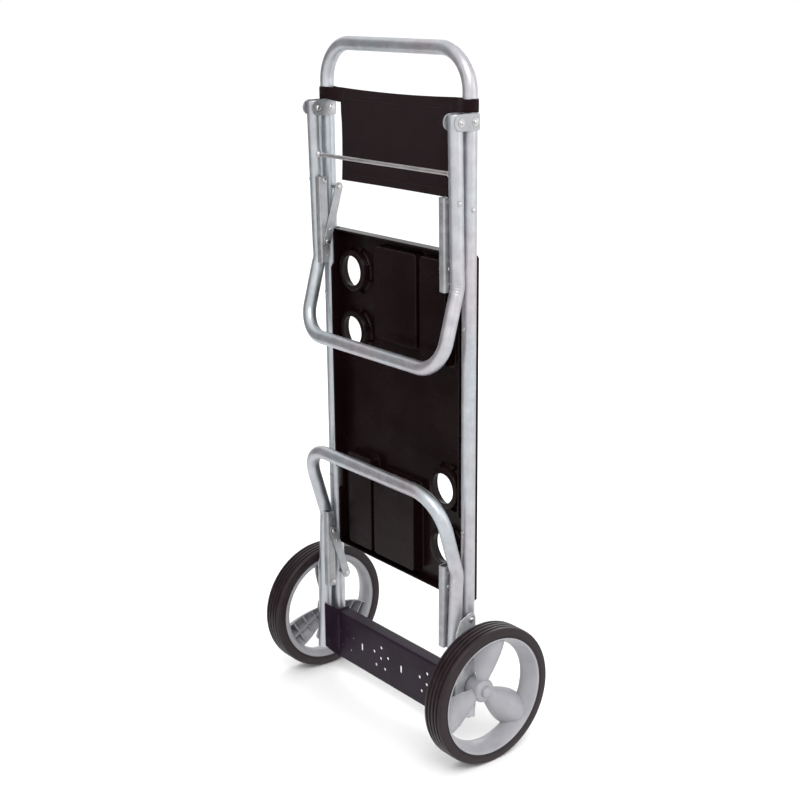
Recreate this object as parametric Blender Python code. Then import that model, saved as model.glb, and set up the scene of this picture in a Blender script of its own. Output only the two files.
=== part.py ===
"""Convertible hand truck: an inverted-U tube frame on two wheels, with a folding toe
plate, a cloth back rest, a moulded table top and two U-shaped legs that swing out on
folding braces.  Metres, +Z up, the truck standing on its wheels on Z = 0 with its
front (the load side, where the legs are folded) towards -Y."""

import math

import bmesh
import bpy
from mathutils import Vector

MM = 0.001
GROUND_Z = -5.5           # heights below are from a datum this far above the ground

# ---- frame tube ----
HALF_W = 200.0            # tube axis to the truck's middle plane
TUBE_R = 12.7             # 1 inch tube
TUBE_WALL = 1.5
TUBE_SIDES = 12
FRAME_FOOT_Z = 58.0
HANDLE_Z = 1265.8
HANDLE_BEND_R = 70.0

# ---- wheels and axle ----
WHEEL_R = 131.5           # solid tyre, a little over 10 inches across
AXLE_Z = 126.0
AXLE_R = 5.0
WHEEL_X0 = 231.5          # inner face of the tyre
WHEEL_X1 = 275.4          # outer face of the tyre
TYRE_BORE_R = 111.8
RIM_OUT_R = 111.5
HUB_R = 22.0
HUB_X0 = 219.0
HUB_X1 = 251.0
SPOKES_RIGHT = (79.0, -41.0, -161.0)
SPOKES_LEFT = (89.0, -31.0, -151.0)

# ---- U-shaped legs: (Y, Z) of pivot, bend, end bar ----
TOP_PIVOT = (-32.0, 1149.5)
TOP_BEND = (-26.3, 872.0)
TOP_BAR = (-66.0, 728.7)
LOW_PIVOT = (-38.0, 80.0)
LOW_BEND = (-26.2, 350.0)
LOW_BAR = (-70.0, 501.1)
LEG_TAIL = 13.0
LEG_TAIL_LOW = 19.0
LEG_BEND_R = 60.0
TOP_CORNER_R = 56.0
LOW_CORNER_R = 66.0
ROD_YZ = (-30.2, 1064.5)
ROD_R = 3.8

# ---- folding braces: (Y, Z) of the pin on the leg, the pin on the frame, the knee ----
TOP_LEG_PIN = (-32.0, 1017.5)
TOP_FRAME_PIN = (-1.5, 1004.0)
TOP_KNEE = (-31.0, 903.82)
LOW_LEG_PIN = (-33.5, 211.0)
LOW_FRAME_PIN = (-3.0, 222.0)
LOW_KNEE = (-33.0, 322.08)
LINK_TAIL = 40.0          # leg link past the knee
PIN_R = 2.5
PIN_HEAD_R = 4.6

# channel section of a leg link: (distance from the middle plane, across the link)
CHANNEL = ((170.0, 5.0), (170.0, -10.0), (171.6, -12.0), (183.9, -12.0), (185.5, -10.0), (185.5, 5.0),
           (183.7, 5.0), (183.7, -10.2), (171.8, -10.2), (171.8, 5.0))

# ---- side plates ----
PLATE_IN_X = 187.0        # face against the inner side of the tubes
PLATE_OUT_X = 213.0       # face against the outer side of the tubes
PLATE_T = 2.5
BOLT_R = 4.0
CLEAR = 0.3
FRAME_BOLT_TOP = (-1.5, 1149.5)
FRAME_BOLT_LOW = (-4.0, 259.0)
FRAME_BOLT_FOOT = (0.0, 84.0)

# ---- toe plate ----
TOE_HINGE = (-9.0, 37.0)
TOE_HALF_W = 181.0
TOE_FRONT_Y = -14.0
TOE_TOP_Z = 135.0
TOE_LIP_Y = 13.0
TOE_T = 1.6
TOE_HOLE_R = 3.0
TOE_HOLE_GROUPS_X = (-155.0, -43.0, 99.0)
TOE_HOLES = ((-22.0, 90.5), (1.0, 106.0), (-1.0, 82.5), (22.0, 91.0), (-16.0, 63.5), (12.0, 63.5))
TOE_SLOTS_X = (-105.0, 20.0)
TOE_SLOT_HALF = 2.8
TOE_SLOT_Z0 = 76.0
TOE_SLOT_Z1 = 92.0
HINGE_ROD_R = 3.0

# ---- moulded table top ----
TOP_HALF_W = 206.0
TOP_Z0 = 285.5
TOP_Z1 = 924.0
TOP_FRONT_Y = 13.2
TOP_REAR_Y = 17.2
SKIRT_HALF_W = 186.4
SKIRT_T = 3.2
SKIRT_FRONT_Y = -11.0
SKIRT_TOP_Y = -4.0
SKIRT_BOTTOM_Y = -4.0
CUP_X = 132.7
CUP_MID_Z = 610.5
CUP_R = 37.0
CUP_HOLE_R = 28.0
CUP_OFFSETS = (239.0, 122.6)
CUP_FLOOR_Y = -3.0

# ---- cloth back rest ----
CLOTH_HALF_W = 162.0
CLOTH_Z0 = 1017.0
CLOTH_Z1 = 1186.5
CLOTH_Y0 = 0.5
CLOTH_Y1 = 4.0
STRAP_Z0 = 1164.0
STRAP_Z1 = 1187.0
STRAP_R0 = 13.1
STRAP_R1 = 15.2

SIDES = (("left", -1), ("right", 1))


def clear_scene():
    for old in list(bpy.data.objects):
        bpy.data.objects.remove(old, do_unlink=True)


def material(name, rgb, metallic, roughness):
    mat = bpy.data.materials.new(name)
    mat.use_nodes = True
    bsdf = mat.node_tree.nodes["Principled BSDF"]
    bsdf.inputs["Base Color"].default_value = (rgb[0], rgb[1], rgb[2], 1.0)
    bsdf.inputs["Metallic"].default_value = metallic
    bsdf.inputs["Roughness"].default_value = roughness
    return mat


def add_mesh(name, verts, faces, mat):
    """A closed mesh in millimetres becomes an object in metres."""
    bm = bmesh.new()
    made = [bm.verts.new((Vector(v) - Vector((0.0, 0.0, GROUND_Z))) * MM) for v in verts]
    for face in faces:
        bm.faces.new([made[i] for i in face])
    bmesh.ops.recalc_face_normals(bm, faces=bm.faces)
    mesh = bpy.data.meshes.new(name)
    bm.to_mesh(mesh)
    bm.free()
    obj = bpy.data.objects.new(name, mesh)
    bpy.context.scene.collection.objects.link(obj)
    mesh.materials.append(mat)
    return obj


def join_lists(parts):
    verts = []
    faces = []
    for part_verts, part_faces in parts:
        base = len(verts)
        verts.extend(part_verts)
        faces.extend([[i + base for i in face] for face in part_faces])
    return verts, faces


def box_data(x0, x1, y0, y1, z0, z1):
    verts = [(x, y, z) for z in (z0, z1) for y in (y0, y1) for x in (x0, x1)]
    faces = [(0, 1, 3, 2), (4, 5, 7, 6), (0, 1, 5, 4), (2, 3, 7, 6), (0, 2, 6, 4), (1, 3, 7, 5)]
    return verts, faces


def prism_data(outline, axis, a, b):
    """Extrude an outline along X (axis 0) or Y (axis 1) from a to b."""
    n = len(outline)
    verts = []
    for level in (a, b):
        for u, v in outline:
            verts.append((level, u, v) if axis == 0 else (u, level, v))
    faces = [(i, (i + 1) % n, n + (i + 1) % n, n + i) for i in range(n)]
    faces.append(tuple(range(n)))
    faces.append(tuple(range(2 * n - 1, n - 1, -1)))
    return verts, faces


def circle(cy, cz, r, n, start=0.0):
    step = 2 * math.pi / n
    return [(cy + r * math.cos(start + i * step), cz + r * math.sin(start + i * step)) for i in range(n)]


def lathe_data(profile, cy, cz, sides):
    """Turn a closed (x, r) profile round an X axis through (cy, cz)."""
    verts = []
    rings = []
    for x, r in profile:
        if r < 1e-6:
            rings.append([len(verts)])
            verts.append((x, cy, cz))
        else:
            base = len(verts)
            rings.append([base + i for i in range(sides)])
            verts.extend([(x, y, z) for y, z in circle(cy, cz, r, sides)])
    faces = []
    count = len(rings)
    for k in range(count):
        low = rings[k]
        high = rings[(k + 1) % count]
        if len(low) == 1 and len(high) == 1:
            continue
        for i in range(sides):
            j = (i + 1) % sides
            if len(low) == 1:
                faces.append((low[0], high[i], high[j]))
            elif len(high) == 1:
                faces.append((low[i], low[j], high[0]))
            else:
                faces.append((low[i], low[j], high[j], high[i]))
    return verts, faces


def lathe(name, profile, centre, sides, mat):
    verts, faces = lathe_data(profile, centre[0], centre[1], sides)
    return add_mesh(name, verts, faces, mat)


def mirror_profile(profile, sign):
    return [(sign * x, r) for x, r in profile]


def fillet(points, radii, steps):
    """Round the inner corners of a 3D polyline with arcs."""
    pts = [Vector(p) for p in points]
    path = [pts[0]]
    for i in range(1, len(pts) - 1):
        into = (pts[i] - pts[i - 1]).normalized()
        out = (pts[i + 1] - pts[i]).normalized()
        turn = into.angle(out)
        setback = radii[i - 1] * math.tan(turn / 2)
        start = pts[i] - into * setback
        side = (out - into * into.dot(out)).normalized()
        centre = start + side * radii[i - 1]
        for k in range(steps[i - 1] + 1):
            a = turn * k / steps[i - 1]
            path.append(centre - side * radii[i - 1] * math.cos(a) + into * radii[i - 1] * math.sin(a))
    path.append(pts[-1])
    return path


def tube_data(path, r_out, r_in, sides):
    """A hollow tube with open ends along a path, rings kept untwisted."""
    count = len(path)
    tangents = []
    for i in range(count):
        a = path[max(i - 1, 0)]
        b = path[min(i + 1, count - 1)]
        tangents.append((b - a).normalized())
    normal = Vector((1.0, 0.0, 0.0))
    normal = (normal - tangents[0] * normal.dot(tangents[0])).normalized()
    verts = []
    for i in range(count):
        if i:
            normal = tangents[i - 1].rotation_difference(tangents[i]) @ normal
            normal = (normal - tangents[i] * normal.dot(tangents[i])).normalized()
        other = tangents[i].cross(normal)
        for r in (r_out, r_in):
            for k in range(sides):
                a = 2 * math.pi * (k + 0.5) / sides
                verts.append(path[i] + normal * r * math.cos(a) + other * r * math.sin(a))
    faces = []
    stride = 2 * sides
    for i in range(count - 1):
        for k in range(sides):
            j = (k + 1) % sides
            for base in (0, sides):
                a = i * stride + base
                b = (i + 1) * stride + base
                faces.append((a + k, a + j, b + j, b + k))
    for i in (0, count - 1):
        a = i * stride
        for k in range(sides):
            j = (k + 1) % sides
            faces.append((a + k, a + j, a + sides + j, a + sides + k))
    return verts, faces


def boolean(obj, cutter, operation):
    mod = obj.modifiers.new(operation.title() + "_" + cutter.name, "BOOLEAN")
    mod.operation = operation
    mod.solver = "EXACT"
    mod.object = cutter
    return mod


def cutter(name, verts, faces, mat):
    obj = add_mesh(name, verts, faces, mat)
    obj.hide_render = True
    obj.display_type = "WIRE"
    return obj


def toward(a, b):
    d = Vector((b[0] - a[0], b[1] - a[1]))
    return d.normalized()


# ---------------------------------------------------------------- tubes
def build_frame_tube(mat):
    corners = [(-HALF_W, 0, FRAME_FOOT_Z), (-HALF_W, 0, HANDLE_Z)]
    corners += [(HALF_W, 0, HANDLE_Z), (HALF_W, 0, FRAME_FOOT_Z)]
    path = fillet(corners, (HANDLE_BEND_R, HANDLE_BEND_R), (7, 7))
    verts, faces = tube_data(path, TUBE_R, TUBE_R - TUBE_WALL, TUBE_SIDES)
    return add_mesh("frame_tube", verts, faces, mat)


def build_leg(name, pivot, bend, bar, tail, corner_r, mat):
    along = toward(pivot, bend)
    end = (pivot[0] - along[0] * tail, pivot[1] - along[1] * tail)
    side = [end, bend, bar]
    corners = [(-HALF_W, y, z) for y, z in side]
    corners.extend([(HALF_W, y, z) for y, z in reversed(side)])
    radii = (LEG_BEND_R, corner_r, corner_r, LEG_BEND_R)
    path = fillet(corners, radii, (3, 6, 6, 3))
    verts, faces = tube_data(path, TUBE_R, TUBE_R - TUBE_WALL, TUBE_SIDES)
    return add_mesh(name, verts, faces, mat)


# ---------------------------------------------------------------- holes across the tubes
def build_cross_holes(mat):
    parts = []
    for _, s in SIDES:
        bolts = (TOP_PIVOT, FRAME_BOLT_TOP, LOW_PIVOT, FRAME_BOLT_FOOT)
        for y, z in bolts:
            parts.append(prism_data(circle(y, z, BOLT_R + CLEAR, 12), 0, s * 180.0, s * 220.0))
        parts.append(prism_data(circle(*FRAME_BOLT_LOW, BOLT_R + CLEAR, 12), 0, s * 185.5, s * 220.0))
        for y, z in (TOP_KNEE, LOW_KNEE):
            parts.append(prism_data(circle(y, z, PIN_R + CLEAR, 10), 0, s * 169.7, s * 186.0))
        for y, z in (TOP_LEG_PIN, TOP_FRAME_PIN, LOW_LEG_PIN, LOW_FRAME_PIN):
            outer = 220.0 if z > 600 else 219.0
            parts.append(prism_data(circle(y, z, PIN_R + CLEAR, 10), 0, s * 150.0, s * outer))
        parts.append(prism_data(circle(0.0, AXLE_Z, AXLE_R + CLEAR, 14), 0, s * 170.0, s * 222.0))
        parts.append(prism_data(circle(*ROD_YZ, ROD_R + CLEAR, 12), 0, s * 180.0, s * 203.0))
        parts.append(prism_data(circle(*TOE_HINGE, HINGE_ROD_R + CLEAR, 12), 0, s * 181.5, s * 192.0))
    verts, faces = join_lists(parts)
    return cutter("cut_cross_holes", verts, faces, mat)


# ---------------------------------------------------------------- side plates
def rounded_plate(outline_pts, arcs):
    """Outline in (Y, Z): plain points, or (centre, radius, start deg, end deg, steps) arcs."""
    out = []
    for item in outline_pts:
        if isinstance(item, int):
            cy, cz, r, a0, a1, n = arcs[item]
            for k in range(n + 1):
                a = math.radians(a0 + (a1 - a0) * k / n)
                out.append((cy + r * math.cos(a), cz + r * math.sin(a)))
        else:
            out.append(item)
    return out


def build_plates(metal, dark, holes):
    py, pz = TOP_PIVOT
    top = rounded_plate([0, (6.0, pz + 14), (8.5, pz + 11), (8.5, pz - 11), (6.0, pz - 14)],
                        [(py, pz, 14.0, 270.0, 90.0, 8)])
    ly, lz = LOW_PIVOT
    side = rounded_plate([0, (6.0, 58.0), 1, (-26.0, 270.0), (-40.0, 238.0), (-40.0, 104.0)],
                         [(ly, lz, 11.5, 190.0, 285.0, 5), (-6.0, 260.0, 12.0, 0.0, 100.0, 5)])
    cheek = [(-46.0, 66.0), (-46.0, 160.0), (-43.0, 160.0), (-12.0, 138.0), (14.0, 138.0),
             (14.0, 48.0), (2.0, 27.0), (-17.0, 27.0)]
    for label, s in SIDES:
        for tag, x0, outline, mat in (
                ("top_bracket_outer", PLATE_OUT_X, top, metal),
                ("top_bracket_inner", PLATE_IN_X - PLATE_T, top, metal),
                ("axle_plate_outer", PLATE_OUT_X, side, metal),
                ("axle_cheek_inner", PLATE_IN_X - PLATE_T, cheek, dark)):
            verts, faces = prism_data(outline, 0, s * x0, s * (x0 + PLATE_T))
            obj = add_mesh(tag + "_" + label, verts, faces, mat)
            boolean(obj, holes, "DIFFERENCE")


# ---------------------------------------------------------------- bolts, pins, rods
def bolt_profile(x_in, x_out, r, head_r, head_h, nut_r, nut_h):
    """Inner end first: a low domed head inside, a nut and shank end outside."""
    return [(x_in - head_h, 0.0), (x_in - head_h, head_r * 0.55), (x_in - head_h * 0.45, head_r),
            (x_in, head_r), (x_in, r), (x_out, r), (x_out, nut_r), (x_out + nut_h, nut_r),
            (x_out + nut_h, r * 0.8), (x_out + nut_h + 1.2, r * 0.6), (x_out + nut_h + 1.2, 0.0)]


def build_fasteners(steel, rod_mat):
    inner = PLATE_IN_X - PLATE_T - 0.2
    outer = PLATE_OUT_X + PLATE_T + 0.2
    for label, s in SIDES:
        jobs = (("top_pivot_bolt_", TOP_PIVOT, inner, 3.0),
                ("top_frame_bolt_", FRAME_BOLT_TOP, inner, 3.0),
                ("low_pivot_bolt_", LOW_PIVOT, inner, 2.6),
                ("low_frame_bolt_", FRAME_BOLT_LOW, HALF_W - TUBE_R - 0.1, 2.6),
                ("foot_bolt_", FRAME_BOLT_FOOT, inner, 2.6))
        for tag, centre, x_in, head_h in jobs:
            nut_h = 3.4 if centre[1] > 600 else 2.6
            prof = bolt_profile(x_in, outer, BOLT_R, 6.8, head_h, 6.4, nut_h)
            lathe(tag + label, mirror_profile(prof, s), centre, 10, steel)
        pins = (("top", TOP_LEG_PIN, TOP_FRAME_PIN), ("low", LOW_LEG_PIN, LOW_FRAME_PIN))
        for end, leg_pin, frame_pin in pins:
            if end == "top":
                tail = [(212.95, PIN_R), (212.95, PIN_HEAD_R), (214.2, PIN_HEAD_R), (215.2, 2.4)]
                tail.append((215.2, 0.0))
            else:
                tail = [(212.2, PIN_R), (212.2, 0.0)]
            leg = [(167.9, 0.0), (167.9, 2.8), (168.9, PIN_HEAD_R), (169.7, PIN_HEAD_R), (169.7, PIN_R),
                   (185.8, PIN_R), (185.8, 4.4), (186.9, 4.4), (186.9, PIN_R)] + tail
            lathe(end + "_leg_pin_" + label, mirror_profile(leg, s), leg_pin, 10, steel)
            frame = [(164.4, 0.0), (164.4, 2.8), (165.4, PIN_HEAD_R), (166.3, PIN_HEAD_R), (166.3, PIN_R),
                     (169.7, PIN_R), (169.7, 4.4), (186.9, 4.4), (186.9, PIN_R)] + tail
            lathe(end + "_frame_pin_" + label, mirror_profile(frame, s), frame_pin, 10, steel)
    rod = [(203.0, 0.0), (203.0, ROD_R), (187.0, ROD_R), (187.0, 7.0), (184.6, 7.0), (183.2, ROD_R)]
    profile = [(-x, r) for x, r in rod] + [(x, r) for x, r in reversed(rod)]
    lathe("cross_rod", profile, ROD_YZ, 10, rod_mat)
    hinge = [(191.4, 0.0), (191.4, 3.0), (190.6, 5.0), (187.4, 5.0), (187.4, HINGE_ROD_R)]
    profile = [(-x, r) for x, r in hinge] + [(x, r) for x, r in reversed(hinge)]
    lathe("toe_hinge_rod", profile, TOE_HINGE, 10, steel)
    axle = [(252.0, 0.0), (252.0, AXLE_R), (218.4, AXLE_R), (218.4, 9.0), (216.0, 9.0), (216.0, AXLE_R)]
    profile = [(-x, r) for x, r in axle] + [(x, r) for x, r in reversed(axle)]
    lathe("axle", profile, (0.0, AXLE_Z), 14, steel)


# ---------------------------------------------------------------- folding braces
def link_frame(a, b):
    """Unit vector along the link, and the one across it whose rest direction is +Y."""
    d = toward(a, b)
    n = Vector((-d[1], d[0]))
    if n[0] < 0:
        n = -n
    return d, n


def link_prism(a, d, n, section, u0, u1):
    """A section of (X, across) points extruded along the link from u0 to u1."""
    verts = []
    for u in (u0, u1):
        for x, w in section:
            verts.append((x, a[0] + d[0] * u + n[0] * w, a[1] + d[1] * u + n[1] * w))
    count = len(section)
    faces = [(i, (i + 1) % count, count + (i + 1) % count, count + i) for i in range(count)]
    faces.append(tuple(range(count)))
    faces.append(tuple(range(2 * count - 1, count - 1, -1)))
    return verts, faces


def flat_bar(a, d, n, length, half_w, x0, x1):
    """A round-ended bar from pin to pin, as an outline in (Y, Z)."""
    outline = []
    for k in range(7):
        t = math.radians(90 + 180 * k / 6)
        outline.append((half_w * math.cos(t), half_w * math.sin(t)))
    for k in range(7):
        t = math.radians(-90 + 180 * k / 6)
        outline.append((length + half_w * math.cos(t), half_w * math.sin(t)))
    pts = [(a[0] + d[0] * u + n[0] * w, a[1] + d[1] * u + n[1] * w) for u, w in outline]
    return prism_data(pts, 0, x0, x1)


def build_braces(mat, steel, holes):
    for end, leg_pin, frame_pin, knee in (("top", TOP_LEG_PIN, TOP_FRAME_PIN, TOP_KNEE),
                                          ("low", LOW_LEG_PIN, LOW_FRAME_PIN, LOW_KNEE)):
        for label, s in SIDES:
            d, n = link_frame(leg_pin, knee)
            length = (Vector(knee) - Vector(leg_pin)).length
            section = [(s * x, w) for x, w in CHANNEL]
            verts, faces = link_prism(leg_pin, d, n, section, -8.0, length + LINK_TAIL)
            obj = add_mesh(end + "_leg_link_" + label, verts, faces, mat)
            boolean(obj, holes, "DIFFERENCE")
            d, n = link_frame(frame_pin, knee)
            length = (Vector(knee) - Vector(frame_pin)).length
            verts, faces = flat_bar(frame_pin, d, n, length, 8.4, s * 166.6, s * 169.4)
            obj = add_mesh(end + "_frame_link_" + label, verts, faces, mat)
            boolean(obj, holes, "DIFFERENCE")
            stub = [(169.7, 0.0), (169.7, PIN_R), (185.8, PIN_R), (185.8, 4.0), (186.3, 3.6), (186.9, 2.0)]
            stub.append((186.9, 0.0))
            lathe(end + "_knee_pin_" + label, mirror_profile(stub, s), knee, 10, steel)


# ---------------------------------------------------------------- wheels
def build_wheels(rubber, plastic, cap_mat):
    mid = (WHEEL_X0 + WHEEL_X1) / 2
    half = (WHEEL_X1 - WHEEL_X0) / 2
    tyre = [(-half, TYRE_BORE_R), (-half, WHEEL_R - 3.5), (-half + 3.0, WHEEL_R - 0.8),
            (-half + 9.0, WHEEL_R), (half - 9.0, WHEEL_R), (half - 3.0, WHEEL_R - 0.8),
            (half, WHEEL_R - 4.5), (half, TYRE_BORE_R)]
    rim = [(-half + 1.5, RIM_OUT_R), (half - 0.4, RIM_OUT_R), (half - 0.4, 107.5), (half - 6.0, 104.0),
           (-6.0, 99.5), (-half + 1.5, 97.5)]
    hub = [(HUB_X0, AXLE_R + 0.4), (HUB_X0, 15.0), (HUB_X0 + 14.0, HUB_R), (HUB_X1 - 3.0, HUB_R),
           (HUB_X1, HUB_R - 3.0), (HUB_X1, AXLE_R + 0.4)]
    leaf = [(14.0, -11.0), (30.0, -19.0), (52.0, -27.0), (74.0, -30.0), (92.0, -26.0), (104.0, -16.0),
            (104.0, 16.0), (92.0, 26.0), (74.0, 30.0), (52.0, 27.0), (30.0, 19.0), (14.0, 11.0)]
    for label, s in SIDES:
        angles = SPOKES_RIGHT if s > 0 else SPOKES_LEFT
        centre = (0.0, AXLE_Z)
        lathe("tyre_" + label, [(s * (mid + x), r) for x, r in tyre], centre, 48, rubber)
        wheel = lathe("wheel_" + label, [(s * (mid + x), r) for x, r in rim], centre, 44, plastic)
        data = lathe_data(mirror_profile(hub, s), centre[0], centre[1], 20)
        boolean(wheel, cutter("join_hub_" + label, data[0], data[1], plastic), "UNION")
        parts = []
        for angle in angles:
            ca = math.cos(math.radians(angle))
            sa = math.sin(math.radians(angle))
            outline = [(u * ca - w * sa, AXLE_Z + u * sa + w * ca) for u, w in leaf]
            parts.append(prism_data(outline, 0, s * 236.0, s * 246.0))
        verts, faces = join_lists(parts)
        boolean(wheel, cutter("join_spokes_" + label, verts, faces, plastic), "UNION")
        cap = [(252.6, 0.0), (252.6, 8.6), (255.4, 8.6), (257.4, 6.4), (258.0, 0.0)]
        lathe("hub_cap_" + label, mirror_profile(cap, s), centre, 16, cap_mat)


# ---------------------------------------------------------------- toe plate
def build_toe(mat):
    hy, hz = TOE_HINGE
    ring_out = 5.0
    ring_in = HINGE_ROD_R + CLEAR
    outline = [(TOE_FRONT_Y, TOE_TOP_Z), (TOE_LIP_Y, TOE_TOP_Z), (TOE_LIP_Y, TOE_TOP_Z - TOE_T),
               (TOE_FRONT_Y + TOE_T, TOE_TOP_Z - TOE_T), (TOE_FRONT_Y + TOE_T, hz + 2.0)]
    gap = 6.0
    inner = []
    for k in range(11):
        a = math.radians(148.0 + (360.0 - 148.0 + 90.0 - gap) * k / 10)
        inner.append((hy + ring_in * math.cos(a), hz + ring_in * math.sin(a)))
    outer = []
    for k in range(11):
        a = math.radians(90.0 - gap + 360.0 - (360.0 - 180.0 + 90.0 - gap) * k / 10)
        outer.append((hy + ring_out * math.cos(a), hz + ring_out * math.sin(a)))
    outline.extend(inner)
    outline.extend(outer)
    verts, faces = prism_data(outline, 0, -TOE_HALF_W, TOE_HALF_W)
    obj = add_mesh("toe_plate", verts, faces, mat)
    parts = []
    through = (TOE_FRONT_Y - 6.0, TOE_FRONT_Y + 8.0)
    for base in TOE_HOLE_GROUPS_X:
        for dx, z in TOE_HOLES:
            parts.append(prism_data(ring_xz(base + dx, z, TOE_HOLE_R, 8), 1, *through))
    for x in TOE_SLOTS_X:
        x0 = x - TOE_SLOT_HALF
        x1 = x + TOE_SLOT_HALF
        slot = [(x0, TOE_SLOT_Z0), (x1, TOE_SLOT_Z0), (x1, TOE_SLOT_Z1), (x0, TOE_SLOT_Z1)]
        parts.append(prism_data(slot, 1, *through))
    verts, faces = join_lists(parts)
    boolean(obj, cutter("cut_toe_holes", verts, faces, mat), "DIFFERENCE")


# ---------------------------------------------------------------- table top
def cup_centres():
    for dz in CUP_OFFSETS:
        yield -CUP_X, CUP_MID_Z + dz
        yield CUP_X, CUP_MID_Z - dz


TRAYS = ((-148.0, -76.0, 300.0, 492.0), (-66.0, 56.0, 300.0, 474.0))


def tray_boxes():
    mid2 = TOP_Z0 + TOP_Z1
    for x0, x1, z0, z1 in TRAYS:
        yield x0, x1, z0, z1
        yield -x1, -x0, mid2 - z1, mid2 - z0


def ring_xz(cx, cz, r, n):
    angles = [2 * math.pi * k / n for k in range(n)]
    return [(cx + r * math.cos(a), cz + r * math.sin(a)) for a in angles]


def build_table_top(mat):
    c = 4.0
    w = TOP_HALF_W
    outline = [(-w + c, TOP_Z0), (w - c, TOP_Z0), (w, TOP_Z0 + c), (w, TOP_Z1 - c), (w - c, TOP_Z1),
               (-w + c, TOP_Z1), (-w, TOP_Z1 - c), (-w, TOP_Z0 + c)]
    verts, faces = prism_data(outline, 1, TOP_FRONT_Y, TOP_REAR_Y)
    top = add_mesh("table_top", verts, faces, mat)
    joins = []
    for s in (-1, 1):
        x0 = s * (SKIRT_HALF_W - SKIRT_T)
        x1 = s * SKIRT_HALF_W
        notch = [(15.0, TOP_Z0), (15.0, TOP_Z1), (SKIRT_TOP_Y, TOP_Z1), (SKIRT_TOP_Y, 858.0),
                 (SKIRT_FRONT_Y, 850.0), (SKIRT_FRONT_Y, 448.0), (4.0, 448.0), (4.0, 404.0),
                 (SKIRT_TOP_Y, 404.0), (SKIRT_TOP_Y, 376.0), (SKIRT_BOTTOM_Y, 370.0),
                 (SKIRT_BOTTOM_Y, TOP_Z0)]
        joins.append(prism_data(notch, 0, x0, x1))
    reach = SKIRT_HALF_W - SKIRT_T + 1.0
    for y0, z0 in ((SKIRT_BOTTOM_Y, TOP_Z0), (SKIRT_TOP_Y, TOP_Z1 - SKIRT_T)):
        joins.append(box_data(-reach, reach, y0, 15.0, z0, z0 + SKIRT_T))
    cups = []
    for x, z in cup_centres():
        cups.append(prism_data(ring_xz(x, z, CUP_R + 2.6, 24), 1, CUP_FLOOR_Y, 15.0))
    trays = [box_data(x0, x1, -9.0, 15.0, z0, z1) for x0, x1, z0, z1 in tray_boxes()]
    for k, part in enumerate(joins):
        boolean(top, cutter("join_skirt_%d" % k, part[0], part[1], mat), "UNION")
    verts, faces = join_lists(cups)
    boolean(top, cutter("join_cups", verts, faces, mat), "UNION")
    verts, faces = join_lists(trays)
    boolean(top, cutter("join_trays", verts, faces, mat), "UNION")
    cuts = []
    for x, z in cup_centres():
        cuts.append(prism_data(ring_xz(x, z, CUP_R, 24), 1, CUP_FLOOR_Y + 2.6, 30.0))
    for x0, x1, z0, z1 in tray_boxes():
        cuts.append(box_data(x0 + 2.6, x1 - 2.6, -6.4, 30.0, z0 + 2.6, z1 - 2.6))
    verts, faces = join_lists(cuts)
    boolean(top, cutter("cut_wells", verts, faces, mat), "DIFFERENCE")
    holes = [prism_data(ring_xz(x, z, CUP_HOLE_R, 24), 1, -20.0, 5.0) for x, z in cup_centres()]
    verts, faces = join_lists(holes)
    boolean(top, cutter("cut_cup_holes", verts, faces, mat), "DIFFERENCE")
    return top


def build_table_screws(steel, tube, top):
    parts = []
    for label, s in SIDES:
        for tag, z in (("upper", 800.0), ("lower", 426.0)):
            x = s * HALF_W
            parts.append(prism_data(ring_xz(x, z, 2.3, 8), 1, -20.0, 15.6))
            rings = [(-14.6, 0.0), (-14.6, 2.4), (-13.4, 4.2), (-12.85, 4.2), (-12.85, 2.0), (15.2, 2.0)]
            rings.append((15.2, 0.0))
            verts, faces = lathe_data(rings, 0.0, 0.0, 8)
            turned = [(x + vy, vx, z + vz) for vx, vy, vz in verts]
            add_mesh("table_screw_" + tag + "_" + label, turned, faces, steel)
    verts, faces = join_lists(parts)
    cut = cutter("cut_screw_holes", verts, faces, steel)
    boolean(tube, cut, "DIFFERENCE")
    boolean(top, cut, "DIFFERENCE")


# ---------------------------------------------------------------- cloth back rest
def build_cloth(mat):
    verts, faces = box_data(-CLOTH_HALF_W, CLOTH_HALF_W, CLOTH_Y0, CLOTH_Y1, CLOTH_Z0, CLOTH_Z1)
    add_mesh("back_cloth", verts, faces, mat)
    for label, s in SIDES:
        outline = []
        a0 = math.asin(CLOTH_Y1 / STRAP_R1)
        a1 = 2 * math.pi + math.asin(CLOTH_Y0 / STRAP_R1)
        for k in range(19):
            a = a0 + (a1 - a0) * k / 18
            outline.append((-STRAP_R1 * math.cos(a), STRAP_R1 * math.sin(a)))
        edge = HALF_W - CLOTH_HALF_W - 0.4
        outline.append((-edge, CLOTH_Y0))
        outline.append((-edge, CLOTH_Y1))
        n = len(outline)
        verts = []
        for z in (STRAP_Z0, STRAP_Z1):
            verts.extend([(s * (HALF_W + x), y, z) for x, y in outline])
        faces = [(i, (i + 1) % n, n + (i + 1) % n, n + i) for i in range(n)]
        faces.append(tuple(range(n)))
        faces.append(tuple(range(2 * n - 1, n - 1, -1)))
        strap = add_mesh("strap_" + label, verts, faces, mat)
        bore = [(s * HALF_W + x, y) for x, y in circle(0.0, 0.0, STRAP_R0, 20)]
        verts = []
        for z in (STRAP_Z0 - 5, STRAP_Z1 + 5):
            verts.extend([(x, y, z) for x, y in bore])
        faces = [(i, (i + 1) % 20, 20 + (i + 1) % 20, 20 + i) for i in range(20)]
        faces.append(tuple(range(20)))
        faces.append(tuple(range(39, 19, -1)))
        boolean(strap, cutter("cut_strap_" + label, verts, faces, mat), "DIFFERENCE")


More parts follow.
